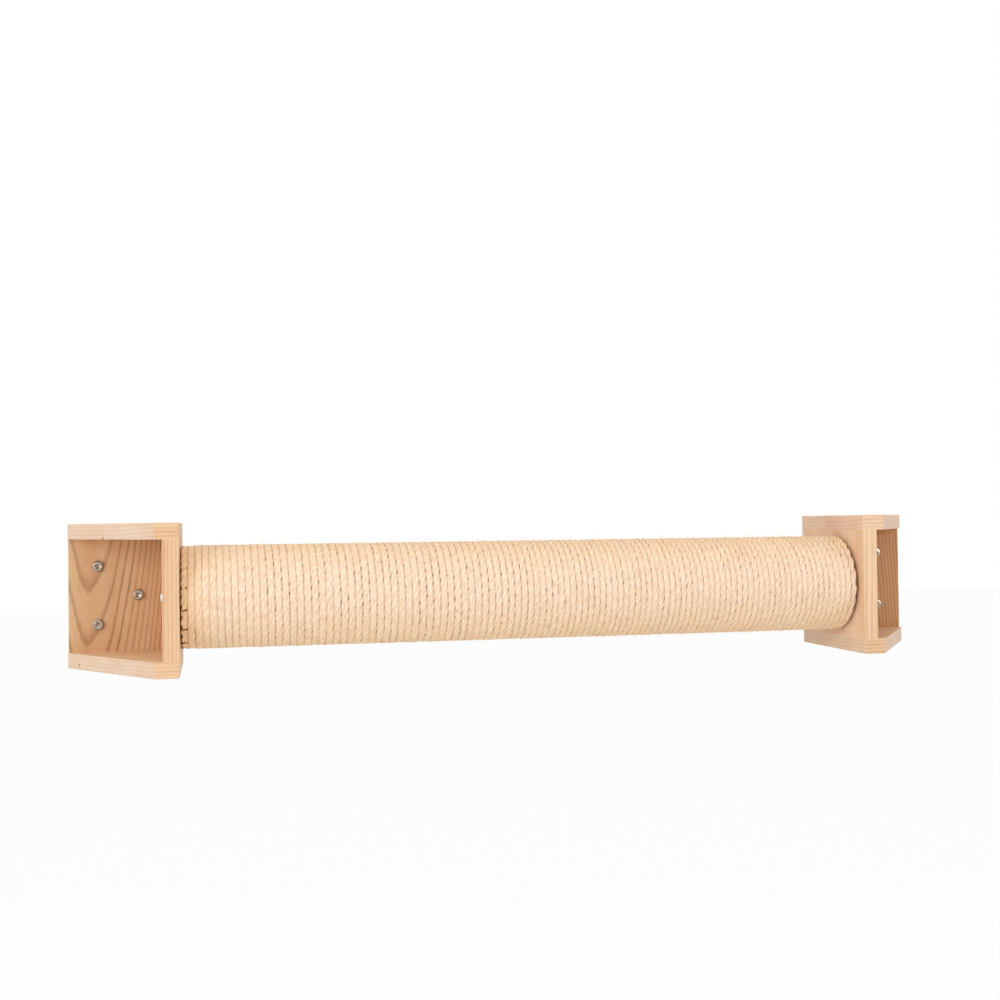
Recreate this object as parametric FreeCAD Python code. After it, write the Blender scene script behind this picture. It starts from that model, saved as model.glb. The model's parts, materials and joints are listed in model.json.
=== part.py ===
import FreeCAD, Part

import math
import os

# A rope-wound scratching post that lies level along a wall between two open wooden box brackets.
# The frame: X along the post, Y into the wall, Z up, in millimetres. The origin is on the wall plane,
# halfway between the brackets and halfway up them.

Vector = FreeCAD.Vector

# Bracket boards
span = 670.0
board = 15.0
bracket_height = 140.0
bracket_depth = 140.0
bracket_width = 108.0
nose_width = 22.0
heel_depth = 19.0
edge_round = 1.2

# Wall screws, number 12 by 2 1/2 in. pan heads: two near the far end, one near the side plate
wall_screw_far = 80.0
wall_screw_near = 42.0
wall_screw_rise = 28.5
wall_screw_length = 63.5
wall_screw_thread = 5.5
wall_screw_shank = 4.6
wall_screw_head = 10.4
wall_screw_head_height = 3.2
wall_hole_clear = 0.35

# Post screws, number 14 by 2 1/4 in. pan heads: one on the axis at each end
post_screw_length = 57.0
post_screw_thread = 6.2
post_screw_shank = 6.4
post_screw_head = 11.6
post_screw_head_height = 3.6
pivot_clear = 0.1

# Screw details
head_dome = 0.6
point_length = 6.0
cross_slot = 1.2
cross_arm = 6.0
cross_depth = 1.7
thread_fit = 0.05

# Post
axis_from_wall = 83.0
tube_bore = 76.2
tube_wall = 4.7
plug_length = 50.0
plug_fit = 0.15
plug_proud = 0.5

# Rope, quarter-inch sisal pulled tight
rope = 5.65
rope_air = 0.55
rope_seat = 0.2
rope_end_clear = 1.2
end_turns = 12
first_angle = -30.0
last_angle = 200.0

# Staples over the first and last turn
staple_count = 15
staple_wire = 0.35
staple_width = 1.2
staple_bite = 3.0
staple_air = 0.1
staple_fit = 0.05

# Nails
brad = 1.2
brad_length = 32.0
brad_head = 1.9
brad_head_height = 0.9
plug_nail = 1.6
plug_nail_length = 20.0
plug_nail_head = 3.4
plug_nail_head_height = 0.8
plug_nail_count = 4
nail_fit = 0.05
brad_inset = 20.0

# Sizes that follow from those above
half_span = span / 2
half_height = bracket_height / 2
inner_half = half_height - board
tube_radius = tube_bore / 2 + tube_wall
rope_centre = tube_radius + rope_seat + rope / 2
rope_outer = tube_radius + rope_seat + rope
rope_pitch = rope + rope_air
axis_point = Vector(0, -axis_from_wall, 0)
sides = {"left": -1, "right": 1}


def outward(side, distance):
    """X of a point this far outside the post face of a side plate."""
    return side * (half_span + distance)


def prism(points, direction):
    """A straight prism on a closed outline."""
    outline = [Vector(*point) for point in points]
    return Part.Face(Part.makePolygon(outline + outline[:1])).extrude(Vector(*direction))


def block(corner, opposite):
    """A box between two opposite corners."""
    low = [min(a, b) for a, b in zip(corner, opposite)]
    high = [max(a, b) for a, b in zip(corner, opposite)]
    sizes = [b - a for a, b in zip(low, high)]
    return Part.makeBox(*sizes, Vector(*low))


def ease(solid, chosen):
    """Round the edges whose middle point passes the test."""
    edges = [edge for edge in solid.Edges if chosen(edge.CenterOfMass)]
    return solid.makeFillet(edge_round, edges)


def near(a, b):
    return abs(a - b) < 0.01


def turned(profile, start, direction):
    """Turn an outline of (distance along, radius) points about the line from start along direction."""
    points = [Vector(radius, 0, along) for along, radius in profile]
    face = Part.Face(Part.makePolygon(points + points[:1]))
    solid = face.revolve(Vector(0, 0, 0), Vector(0, 0, 1), 360)
    solid.Placement = FreeCAD.Placement(start, FreeCAD.Rotation(Vector(0, 0, 1), direction))
    return solid


def pan_screw(seat, direction, length, shank, thread, head, head_height, shank_length):
    """A cross-slot pan-head wood screw whose head rests on the seat and which points along direction."""
    profile = [
        (-head_height, 0),
        (-head_height, head / 2 - 2 * head_dome),
        (-head_height + head_dome, head / 2 - head_dome / 2),
        (-head_height + 2 * head_dome, head / 2),
        (0, head / 2),
        (0, shank / 2),
        (shank_length, shank / 2),
        (shank_length, thread / 2),
        (length - point_length, thread / 2),
        (length, 0),
    ]
    screw = turned(profile, seat, direction)
    arm = cross_arm / 2
    slot = cross_slot / 2
    floor = cross_depth - head_height
    cross = block((-arm, -slot, -2 * head_height), (arm, slot, floor))
    cross = cross.fuse(block((-slot, -arm, -2 * head_height), (slot, arm, floor))).removeSplitter()
    cross.Placement = FreeCAD.Placement(seat, FreeCAD.Rotation(Vector(0, 0, 1), direction))
    return screw.cut(cross)


def nail(seat, direction, length, shank, head, head_height, fit=0.0):
    """A nail with its head flush with the seat; fit grows it all round into the hole that it makes."""
    profile = [
        (0, 0),
        (0, head / 2 + fit),
        (head_height + fit, head / 2 + fit),
        (head_height + fit, shank / 2 + fit),
        (length + fit, shank / 2 + fit),
        (length + fit, 0),
    ]
    return turned(profile, seat, direction)


def plan_outline(side, height):
    """The top and bottom boards from above: square at the wall and the post, slanted from nose to heel."""
    corners = [
        (0, 0),
        (0, -bracket_depth),
        (nose_width, -bracket_depth),
        (bracket_width, -heel_depth),
        (bracket_width, 0),
    ]
    return [(outward(side, across), back, height) for across, back in corners]


def level_board(side, up):
    """A top board (up is 1) or a bottom board (up is -1), eased round its outer face and upright corners."""
    outer = up * half_height
    solid = prism(plan_outline(side, up * inner_half), (0, 0, up * board))

    def exposed(middle):
        if near(middle.y, 0):
            return False
        upright = near(abs(middle.z), half_height - board / 2)
        return near(middle.z, outer) or upright

    return ease(solid, exposed)


def side_plate(side):
    """The upright board that carries one end of the post."""
    solid = block(
        (outward(side, 0), 0, -inner_half),
        (outward(side, board), -bracket_depth, inner_half),
    )
    solid = ease(solid, lambda middle: near(middle.y, -bracket_depth) and near(middle.z, 0))
    start = Vector(outward(side, 0), -axis_from_wall, 0)
    return solid.cut(Part.makeCylinder(post_screw_shank / 2 + pivot_clear, board, start, Vector(side, 0, 0)))


def wall_screw_places(side):
    """Where the three wall screws pass through the wall plane."""
    spots = [(wall_screw_far, wall_screw_rise), (wall_screw_far, -wall_screw_rise), (wall_screw_near, 0)]
    return [Vector(outward(side, across), 0, rise) for across, rise in spots]


def wall_plate(side):
    """The board that lies against the wall, with its three screw holes."""
    solid = block(
        (outward(side, board), 0, -inner_half),
        (outward(side, bracket_width), -board, inner_half),
    )
    far_end = outward(side, bracket_width)
    solid = ease(solid, lambda middle: near(middle.x, far_end) and near(middle.y, -board))
    wall_hole = wall_screw_thread / 2 + wall_hole_clear
    for place in wall_screw_places(side):
        start = place - Vector(0, board, 0)
        solid = solid.cut(Part.makeCylinder(wall_hole, board, start, Vector(0, 1, 0)))
    return solid


def wall_screws(side):
    """Three screws whose smooth shanks fill the board and whose threads start at the wall plane."""
    screws = []
    for place in wall_screw_places(side):
        seat = place - Vector(0, board, 0)
        screws.append(pan_screw(
            seat, Vector(0, 1, 0), wall_screw_length, wall_screw_shank, wall_screw_thread,
            wall_screw_head, wall_screw_head_height, board))
    return screws


def board_nail_places(side):
    """Seats and directions of a bracket's brads: down and up into the upright boards, and plate to plate."""
    mid_side = outward(side, board / 2)
    mid_wall = -board / 2
    places = []
    for up in (1, -1):
        face = up * half_height
        inward = Vector(0, 0, -up)
        places.append((Vector(mid_side, -brad_inset, face), inward))
        places.append((Vector(mid_side, brad_inset - bracket_depth, face), inward))
        places.append((Vector(outward(side, board + brad_inset), mid_wall, face), inward))
        places.append((Vector(outward(side, bracket_width - brad_inset), mid_wall, face), inward))
        places.append((Vector(outward(side, 0), mid_wall, up * (inner_half - brad_inset)), Vector(side, 0, 0)))
    return places


def board_nails(side, fit=0.0):
    return [
        nail(seat, direction, brad_length, brad, brad_head, brad_head_height, fit)
        for seat, direction in board_nail_places(side)
    ]


def round_post(angle):
    """The unit direction from the axis at an angle from the top, turning forwards and down."""
    return Vector(0, -math.sin(math.radians(angle)), math.cos(math.radians(angle)))


def plug_nails(side, fit=0.0):
    """Nails through the tube's wall into the plug, evenly spaced, their heads flush under the rope."""
    middle = axis_point + Vector(side * (half_span - plug_length / 2), 0, 0)
    nails = []
    for index in range(plug_nail_count):
        direction = round_post(360 / plug_nail_count * (index + 0.5))
        seat = middle + direction * tube_radius
        nails.append(nail(
            seat, direction * -1, plug_nail_length, plug_nail, plug_nail_head, plug_nail_head_height, fit))
    return nails


def core_tube():
    """The paper tube, a little shorter than the span so that only the plugs touch the side plates."""
    length = span - 2 * plug_proud
    start = axis_point + Vector(plug_proud - half_span, 0, 0)
    along = Vector(1, 0, 0)
    tube = Part.makeCylinder(tube_radius, length, start, along)
    return tube.cut(Part.makeCylinder(tube_bore / 2, length, start, along))


def end_plug(side):
    """The turned wooden plug in one end of the tube, bored for the post screw's thread."""
    start = axis_point + Vector(side * half_span, 0, 0)
    inward = Vector(-side, 0, 0)
    plug = Part.makeCylinder(tube_bore / 2 - plug_fit, plug_length, start, inward)
    depth = post_screw_length - board + 2 * thread_fit
    return plug.cut(Part.makeCylinder(post_screw_thread / 2 + thread_fit, depth, start, inward))


def post_screw(side):
    """The screw on the axis: its head outside the side plate, its smooth shank the post's pivot."""
    seat = axis_point + Vector(outward(side, board), 0, 0)
    return pan_screw(
        seat, Vector(-side, 0, 0), post_screw_length, post_screw_shank, post_screw_thread,
        post_screw_head, post_screw_head_height, board)


def rope_point(angle, zero_x):
    """A point of the rope's centre line; zero_x is where the helix passes angle zero."""
    return axis_point + Vector(zero_x + rope_pitch * angle / 360, 0, 0) + round_post(angle) * rope_centre


def rope_tangent(angle):
    """The helix's unit direction at an angle."""
    run = Vector(rope_pitch / (2 * math.pi), 0, 0) + round_post(angle + 90) * rope_centre
    return run.normalize()


def corner_arc(start, corner, end):
    """The arc that leaves start towards corner and arrives at end from it."""
    chord = end - start
    middle = (start + end) * 0.5
    turn = (corner - start).getAngle(end - corner)
    rise = chord.Length / 2 * math.tan(turn / 4)
    return Part.Arc(start, middle + (corner - middle).normalize() * rise, end).toShape()


def biarc(start, start_tangent, end, end_tangent):
    """Two arcs, tangent where they meet, from one point and direction to another."""
    chord = end - start
    both = start_tangent + end_tangent
    spread = 2 * (1 - start_tangent.dot(end_tangent))
    along = chord.dot(both)
    reach = (math.sqrt(along * along + spread * chord.dot(chord)) - along) / spread
    first_corner = start + start_tangent * reach
    last_corner = end - end_tangent * reach
    meet = (first_corner + last_corner) * 0.5
    return [corner_arc(start, first_corner, meet), corner_arc(meet, last_corner, end)]


def least_gap(path):
    """The least air between the tube and its own other turns, from points along its centre line."""
    step = rope / 2
    points = path.discretize(Distance=step)
    half_turn = int(math.pi * rope_centre / step)
    whole_turn = 2 * half_turn
    nearest = min(
        (points[first] - points[second]).Length
        for first in range(len(points))
        for second in range(first + half_turn, min(first + half_turn + whole_turn, len(points)))
    )
    return nearest - rope


def rope_turns(name, start_angle, zero_x):
    """One unbroken tube of helical turns, with a straight run of one rope diameter at each end."""
    end_angle = start_angle + 360 * end_turns
    angles = [start_angle + 90 * quarter for quarter in range(4 * end_turns + 1)]
    first = rope_point(start_angle, zero_x)
    last = rope_point(end_angle, zero_x)
    tail = first - rope_tangent(start_angle) * rope
    edges = [Part.LineSegment(tail, first).toShape()]
    for one, two in zip(angles, angles[1:]):
        edges += biarc(rope_point(one, zero_x), rope_tangent(one), rope_point(two, zero_x), rope_tangent(two))
    edges.append(Part.LineSegment(last, last + rope_tangent(end_angle) * rope).toShape())
    path = Part.Wire(edges)
    section = Part.Wire(Part.makeCircle(rope / 2, tail, rope_tangent(start_angle)))
    tube = path.makePipeShell([section], True, False)
    if tube.Volume < 0:
        tube.reverse()
    share = tube.Volume / (math.pi * rope * rope / 4 * path.Length)
    print(f"{name}: least gap to itself {least_gap(path):.3f} mm, volume over section times length {share:.4f}")
    return Part.Solid(tube.Shells[0])


def rope_zero(side):
    """X where the helix that ends at this side's plate passes angle zero."""
    end_angle = first_angle if side < 0 else last_angle
    centre_x = side * (half_span - rope_end_clear - rope / 2)
    return centre_x - rope_pitch * end_angle / 360


def rope_middle():
    """The long middle of the winding, at its outer diameter, between the two sets of modelled turns."""
    left_end = rope_zero(-1) + rope_pitch * (first_angle / 360 + end_turns) + rope / 2 + rope_air
    right_end = rope_zero(1) + rope_pitch * (last_angle / 360 - end_turns) - rope / 2 - rope_air
    start = axis_point + Vector(left_end, 0, 0)
    along = Vector(1, 0, 0)
    sleeve = Part.makeCylinder(rope_outer, right_end - left_end, start, along)
    return sleeve.cut(Part.makeCylinder(tube_radius + rope_seat, right_end - left_end, start, along))


def staple(centre_x, angle, fit=0.0):
    """A flat-wire staple astride the rope, its legs between the turns and into the tube."""
    half = rope_pitch / 2
    wire = staple_wire / 2 + fit
    top = rope_outer + staple_air + staple_wire
    tip = tube_radius - staple_bite - fit
    inner_top = rope_outer + staple_air - fit
    across = staple_width / 2 + fit
    outline = [
        (-half - wire, tip), (-half + wire, tip), (-half + wire, inner_top), (half - wire, inner_top),
        (half - wire, tip), (half + wire, tip), (half + wire, top), (-half - wire, top),
    ]
    solid = prism([(x, -across, height) for x, height in outline], (0, 2 * across, 0))
    turn = FreeCAD.Rotation(Vector(1, 0, 0), angle)
    solid.Placement = FreeCAD.Placement(axis_point + Vector(centre_x, 0, 0), turn)
    return solid


def rope_staples(side, fit=0.0):
    """Staples evenly round the rope's first turn on the left, or its last turn on the right."""
    step = 360 / staple_count
    if side < 0:
        angles = [first_angle + step * (index + 0.5) for index in range(staple_count)]
    else:
        angles = [last_angle - step * (index + 0.5) for index in range(staple_count)]
    return [staple(rope_zero(side) + rope_pitch * angle / 360, angle, fit) for angle in angles]


def drilled(solid, holes):
    """The solid with the holes that cross it cut out."""
    crossing = [hole for hole in holes if solid.BoundBox.intersect(hole.BoundBox)]
    return solid.cut(crossing) if crossing else solid


nodes = {}
tube_holes = []
for name, side in sides.items():
    brad_holes = board_nails(side, nail_fit)
    nodes[f"{name}_wall_plate"] = drilled(wall_plate(side), brad_holes)
    nodes[f"{name}_side_plate"] = drilled(side_plate(side), brad_holes)
    nodes[f"{name}_top_board"] = drilled(level_board(side, 1), brad_holes)
    nodes[f"{name}_bottom_board"] = drilled(level_board(side, -1), brad_holes)
    nodes[f"{name}_board_nails"] = Part.Compound(board_nails(side))
    nodes[f"{name}_wall_screws"] = Part.Compound(wall_screws(side))
    nail_holes = plug_nails(side, nail_fit)
    nodes[f"{name}_end_plug"] = drilled(end_plug(side), nail_holes)
    nodes[f"{name}_plug_nails"] = Part.Compound(plug_nails(side))
    nodes[f"{name}_post_screw"] = post_screw(side)
    nodes[f"{name}_rope_staples"] = Part.Compound(rope_staples(side))
    tube_holes += nail_holes + rope_staples(side, staple_fit)

nodes["core_tube"] = drilled(core_tube(), tube_holes)
nodes["left_rope_turns"] = rope_turns("left_rope_turns", first_angle, rope_zero(-1))
nodes["right_rope_turns"] = rope_turns("right_rope_turns", last_angle - 360 * end_turns, rope_zero(1))
nodes["rope_middle"] = rope_middle()

os.makedirs("parts", exist_ok=True)
for name, shape in nodes.items():
    print(name, "solids", len(shape.Solids), "valid", shape.isValid(), f"volume {shape.Volume:.0f}")
    shape.exportStep(f"parts/{name}.step")
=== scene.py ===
"""Dresses the wall-mounted scratching post: laid rope, fibres, staples, screws, finishes and a studio."""

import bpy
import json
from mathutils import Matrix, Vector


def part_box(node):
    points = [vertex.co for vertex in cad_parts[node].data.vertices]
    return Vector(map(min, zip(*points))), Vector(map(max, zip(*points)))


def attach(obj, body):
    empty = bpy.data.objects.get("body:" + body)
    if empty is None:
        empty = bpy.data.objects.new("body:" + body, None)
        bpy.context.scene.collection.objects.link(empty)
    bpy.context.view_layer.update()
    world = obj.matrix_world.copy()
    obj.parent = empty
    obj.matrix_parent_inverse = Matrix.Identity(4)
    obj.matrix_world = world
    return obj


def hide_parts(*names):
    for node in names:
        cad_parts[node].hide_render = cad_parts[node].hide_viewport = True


bl_info = {
    "name": "Wall scratching post",
    "version": (1, 0, 0),
    "blender": (4, 5, 0),
    "location": "View3D > Sidebar > Scratching post",
    "description": "Rope, fasteners, finishes and studio for a wall-mounted scratching post",
    "category": "Object",
}

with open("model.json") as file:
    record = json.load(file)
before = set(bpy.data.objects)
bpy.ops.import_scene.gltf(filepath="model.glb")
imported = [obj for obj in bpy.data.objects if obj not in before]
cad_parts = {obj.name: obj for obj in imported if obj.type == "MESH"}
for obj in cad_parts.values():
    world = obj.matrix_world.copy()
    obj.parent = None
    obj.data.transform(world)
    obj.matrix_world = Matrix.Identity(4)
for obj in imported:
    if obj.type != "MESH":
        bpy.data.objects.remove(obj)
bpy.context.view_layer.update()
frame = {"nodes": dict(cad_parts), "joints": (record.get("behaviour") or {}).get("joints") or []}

import json
import math
from functools import partial

import bpy
import numpy as np
from bpy.props import FloatProperty, FloatVectorProperty, IntProperty, PointerProperty, StringProperty
from mathutils import Matrix, Vector

MM = 0.001
FULL_TURN = 2 * math.pi
SIDES = {"left": -1, "right": 1}

# Where the solids put the post, in metres
_, AXIS_Y, AXIS_Z = frame["joints"][0]["pos_m"]
TUBE_LOW, TUBE_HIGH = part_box("core_tube")
TUBE_RADIUS = (TUBE_HIGH.y - TUBE_LOW.y) / 2
WINDING_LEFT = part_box("left_rope_turns")[0].x
WINDING_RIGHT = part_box("right_rope_turns")[1].x
WINDING_LOW, WINDING_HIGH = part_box("rope_middle")
WINDING_RADIUS = (WINDING_HIGH.y - WINDING_LOW.y) / 2
PLATE_LOW, PLATE_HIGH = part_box("right_side_plate")
PLATE_INSIDE, PLATE_OUTSIDE = PLATE_LOW.x, PLATE_HIGH.x
WALL_PLATE_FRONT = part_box("left_wall_plate")[0].y

# Air between the tube and the rope
SEAT = 0.2 * MM

# Sockets of the Mix node when it mixes colours
MIX_FACTOR, MIX_A, MIX_B = 0, 6, 7
COLOUR_MIX = {"out": 2, "data_type": "RGBA"}

SCREW_SIZES = "Length under the head, thread, core, head width and head height"
KINDS = {int: IntProperty, float: FloatProperty, tuple: FloatVectorProperty, str: StringProperty}


def setting(name, description, default, **more):
    """A setting whose kind follows from its default: a number, a row of numbers, or a colour in sRGB hex."""
    if isinstance(default, tuple):
        more["size"] = len(default)
    return KINDS[type(default)](name=name, description=description, default=default, **more)


metres = partial(setting, unit="LENGTH", precision=5)
radians = partial(setting, subtype="ANGLE")


class RopeSettings(bpy.types.PropertyGroup):
    """Sizes and colours of the laid sisal rope and its loose fibres."""

    thickness: metres("Thickness", "Height of the rope off the tube", WINDING_RADIUS - TUBE_RADIUS - SEAT)
    width: metres("Width", "Width of the rope at its ends", 6.2 * MM)
    tight_spread: setting(
        "Tight spread", "Width of a turn before its neighbours press it, over its spacing", 1.68)
    loose_give: setting("Loose give", "How much less it spreads in the loose stretch", 0.12)
    lay: metres("Lay", "Length in which a strand goes once round the rope", 28.5 * MM)
    first_angle: radians("First angle", "Where the rope starts, from the top forwards", math.radians(-30))
    last_angle: radians("Last angle", "Where the rope ends, from the top forwards", math.radians(200))
    whole_turns: setting("Whole turns", "Whole turns between those two angles", 106)
    loose_middle: metres("Loose stretch", "Middle of the stretch where the turns stand apart", -160 * MM)
    loose_reach: metres("Loose reach", "How far the loose stretch goes each way", 130 * MM)
    loose_share: setting("Looseness", "Extra spacing in the loose stretch, as a share", 0.115)
    fibre_count: setting("Loose fibres", "Fibres that stand off the rope", 3500)
    fibre_length: metres("Fibre length", "Mean length of a loose fibre", 5.5 * MM)
    pale: setting("Pale", "Palest strands, sRGB hex", "#FBDDB6")
    straw: setting("Straw", "Deepest strands, sRGB hex", "#FBD29F")
    # Painted sheen: the front of the rope is paler, as light glancing off its fibres would show
    painted_sheen: setting("Bleached", "Where light from the room falls, sRGB hex", "#FBE7D2")
    # Painted warm shade on the first turns: the left side plate's shadow and its warm bounce
    plate_shade: setting("Raw start", "First turns, sRGB hex", "#FFD298")
    # Painted shade in the grooves between strands; the yarn shading mixes towards it as well
    groove: setting("Groove", "Between the strands, sRGB hex", "#E6C09A")


class FastenerSettings(bpy.types.PropertyGroup):
    """Sizes and colours of the screws and staples."""

    wall_screw_far: metres("Outer wall screws", "Distance outwards from the post's end", 80 * MM)
    wall_screw_near: metres("Inner wall screw", "Distance outwards from the post's end", 42 * MM)
    wall_screw_rise: metres("Wall screw rise", "Outer screws above and below the axis", 28.5 * MM)
    wall_screw_size: metres("Wall screw", SCREW_SIZES, (63.5 * MM, 5.5 * MM, 3.8 * MM, 10.4 * MM, 3.2 * MM))
    post_screw_size: metres("Post screw", SCREW_SIZES, (57 * MM, 6.2 * MM, 4.4 * MM, 11.6 * MM, 3.6 * MM))
    thread_pitch: metres("Thread pitch", "Advance of the thread in a turn", 2.4 * MM)
    staple_count: setting("Staples", "Staples over each end turn", 15)
    staple_wire: metres("Staple wire", "Width and thickness of the flat wire", (1.2 * MM, 0.35 * MM))
    staple_sink: metres(
        "Staple depth", "How far the left and the right staples are driven in", (1.3 * MM, 1.2 * MM))
    # Darker and warmer than bare zinc: painted reflection of the shaded wood round the wall screws' heads
    zinc: setting("Zinc", "Wall screws' zinc plate, sRGB hex", "#B0A294")
    # Near white: painted reflection of white light on the post screws' heads, seen edge-on
    highlight_zinc: setting("Bright zinc", "Post screws' zinc plate, sRGB hex", "#F0ECE6")
    # Dark brown: the wire's own colour darkened to carry painted shade of the dents it presses into the rope
    shade_dark_staple_steel: setting("Staple steel", "Dull staple wire, sRGB hex", "#8A5630")


class StudioSettings(bpy.types.PropertyGroup):
    """Camera, floor and surroundings."""

    camera_place: setting(
        "Camera", "Where the camera stands", (-0.304146, -1.350754, 0.066088), subtype="TRANSLATION")
    camera_turn: setting(
        "Camera turn", "Yaw to the right, pitch up and roll",
        (math.radians(12.339), math.radians(1.009), math.radians(0.678)), subtype="EULER")
    lens: setting("Lens", "Focal length on a 36 mm sensor", 47.137)
    floor_level: metres("Floor", "Height of the floor", -0.9)
    world_level: setting("World", "Light from all round", 0.54)


def linear(code):
    """Linear red, green, blue and alpha of an sRGB hex colour."""
    parts = [int(code[at:at + 2], 16) / 255 for at in (1, 3, 5)]
    return tuple(p / 12.92 if p <= 0.04045 else ((p + 0.055) / 1.055) ** 2.4 for p in parts) + (1.0,)


def add_node(tree, kind, inputs=(), out=0, **settings):
    """Adds a shader node, applies its settings, sets or links its inputs, and gives back one of its outputs.

    Inputs go by name or number, or in a list by the order of the sockets. A Map Range lists the value, the
    low and high end of the range that it comes from, and the low and high end of the range that it goes to.
    """
    node = tree.nodes.new(f"ShaderNode{kind}")
    for key, value in settings.items():
        setattr(node, key, value)
    for key, value in inputs.items() if isinstance(inputs, dict) else enumerate(inputs):
        if isinstance(value, bpy.types.NodeSocket):
            tree.links.new(value, node.inputs[key])
        else:
            node.inputs[key].default_value = value
    return node.outputs[out] if len(node.outputs) else None


def new_material(name):
    """An empty node material, and add_node for its tree."""
    material = bpy.data.materials.new(name)
    material.use_nodes = True
    material.node_tree.nodes.clear()
    return material, partial(add_node, material.node_tree)


def finish_material(node, colour, roughness, relief=None, **inputs):
    """Ends a material with one shader; its relief comes from a height, a strength and a depth in metres."""
    inputs |= {"Base Color": colour, "Roughness": roughness}
    if relief:
        inputs["Normal"] = node("Bump", dict(zip(("Height", "Strength", "Distance"), relief)))
    shader = node("BsdfPrincipled", inputs)
    node("OutputMaterial", {"Surface": shader})


def new_object(name, data):
    """A new object in the scene."""
    made = bpy.data.objects.new(name, data)
    bpy.context.scene.collection.objects.link(made)
    return made


# A wander has this many waves, and their paces spread between these shares of the one given
WAVES = 6
PACE_SPREAD = (0.5, 1.7)


def wander(place, size, pace, seed):
    """A smooth seeded wander of about that size: a sum of sine waves, paced in radians a unit of place."""
    draw = np.random.default_rng(seed)
    paces = pace * draw.uniform(*PACE_SPREAD, WAVES)
    phases = draw.uniform(0, FULL_TURN, WAVES)
    return size * (np.sin(place[..., None] * paces + phases).sum(-1) / math.sqrt(WAVES))


def ease(share):
    """A smooth step from 0 to 1: three times the square of the share less twice its cube."""
    share = np.clip(share, 0, 1)
    return share * share * (3 - 2 * share)


def tubes(rings):
    """Points and faces of closed tubes, from an array of tube, ring, point round the ring, and x, y, z.

    Neighbouring rings are joined by four-sided faces, and each end is a fan about the middle of its ring.
    The points go round counterclockwise as seen from the tube's far end, so the faces point outwards.
    """
    count, along, around, _ = rings.shape
    here = np.arange(count * along * around).reshape(count, along, around)
    beside = np.roll(here, -1, axis=2)
    quads = np.stack([here[:, :-1], beside[:, :-1], beside[:, 1:], here[:, 1:]], axis=-1).reshape(-1, 4)
    first = np.broadcast_to(here.size + np.arange(count)[:, None], (count, around))
    start_fans = np.stack([first, beside[:, 0], here[:, 0]], axis=-1).reshape(-1, 3)
    end_fans = np.stack([first + count, here[:, -1], beside[:, -1]], axis=-1).reshape(-1, 3)
    points = np.concatenate([rings.reshape(-1, 3), rings[:, 0].mean(1), rings[:, -1].mean(1)])
    return points, [quads, start_fans, end_fans]


def add_piece(name, rings, material, body, stands_for=(), attributes=None):
    """A smooth mesh piece of closed tubes that rides on a body, with values carried by its points."""
    points, faces = tubes(rings)
    mesh = bpy.data.meshes.new(name)
    mesh.vertices.add(len(points))
    mesh.vertices.foreach_set("co", points.astype(np.float32).ravel())
    sizes = np.concatenate([np.full(len(group), group.shape[1]) for group in faces])
    corners = np.concatenate([group.ravel() for group in faces])
    mesh.loops.add(len(corners))
    mesh.loops.foreach_set("vertex_index", corners.astype(np.int32))
    mesh.polygons.add(len(sizes))
    mesh.polygons.foreach_set("loop_start", (np.cumsum(sizes) - sizes).astype(np.int32))
    mesh.polygons.foreach_set("use_smooth", np.ones(len(sizes), dtype=bool))
    mesh.update(calc_edges=True)
    for label, values in (attributes or {}).items():
        vector = values.ndim == 4
        tail = (3,) if vector else ()
        ends = [values[:, 0].mean(1).reshape(-1, *tail), values[:, -1].mean(1).reshape(-1, *tail)]
        data = np.concatenate([values.reshape(-1, *tail), *ends]).astype(np.float32)
        layer = mesh.attributes.new(label, "FLOAT_VECTOR" if vector else "FLOAT", "POINT")
        layer.data.foreach_set("vector" if vector else "value", data.ravel())
    if mesh.validate():
        raise RuntimeError(f"{name} has faces that Blender would not take")
    mesh.materials.append(material)
    piece = new_object(name, mesh)
    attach(piece, body)
    if stands_for:
        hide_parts(*stands_for)


def dress(node_name, material):
    """Gives a solid's node a finish in place of its plain one."""
    mesh = frame["nodes"][node_name].data
    mesh.materials.clear()
    mesh.materials.append(material)


# Boards

# Each board: a point on the heart of its log and the way the grain runs, in mm, the ring width in mm, where
# in a ring the count starts, the pale and the dark colour, and how strongly the dark rings show
BOARD_GRAIN = {
    # The wall plates' colours are darker than the other boards': partly their own wood, partly painted shade
    # of the brackets' recesses, most of all in the right one
    "left_wall_plate": ((-423.0, 80, 8), (0.036, -0.0477, 1), 2.4, 0.815, "#DBB286", "#A8784D", 1.0),
    "right_wall_plate": ((352, 78, -12), (-0.03, 0.04, 1), 2.6, 0.1, "#C79260", "#956236", 1.0),
    "left_side_plate": ((-560, -75, 0), (0.012, 0.02, 1), 3.4, 0.3, "#E7C6A1", "#C89664", 0.9),
    "right_side_plate": ((470, 60, 0), (-0.015, 0.02, 1), 3.3, 0.75, "#EBCAA8", "#D2A577", 0.95),
    "left_top_board": ((-390, -60, 1480), (1, 0.006, 0.006), 3.9, 0.2, "#E9C9A4", "#D0A270", 0.9),
    "left_bottom_board": ((-390, -80, 1330), (1, -0.006, 0.008), 3.7, 0.5, "#E7C7A1", "#D0A373", 0.9),
    "right_top_board": ((390, -50, 1500), (1, 0.006, -0.006), 3.9, 0.85, "#E8C4A2", "#D6A57C", 0.85),
    "right_bottom_board": ((390, -85, 1310), (1, 0.007, 0.005), 3.6, 0.4, "#E3C39F", "#CC9F71", 0.9),
}
# Small brown specks of pin knots on two slanted edges: board, and place in mm
PIN_KNOTS = {
    "left_top_board": (-405.7, -71.5, 55.8),
    "left_bottom_board": (-430.9, -36.0, -65.4),
}
WARM_PATCH, END_GRAIN, PIN_KNOT = "#E8B083", "#E4D0C2", "#9C5F35"
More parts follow.
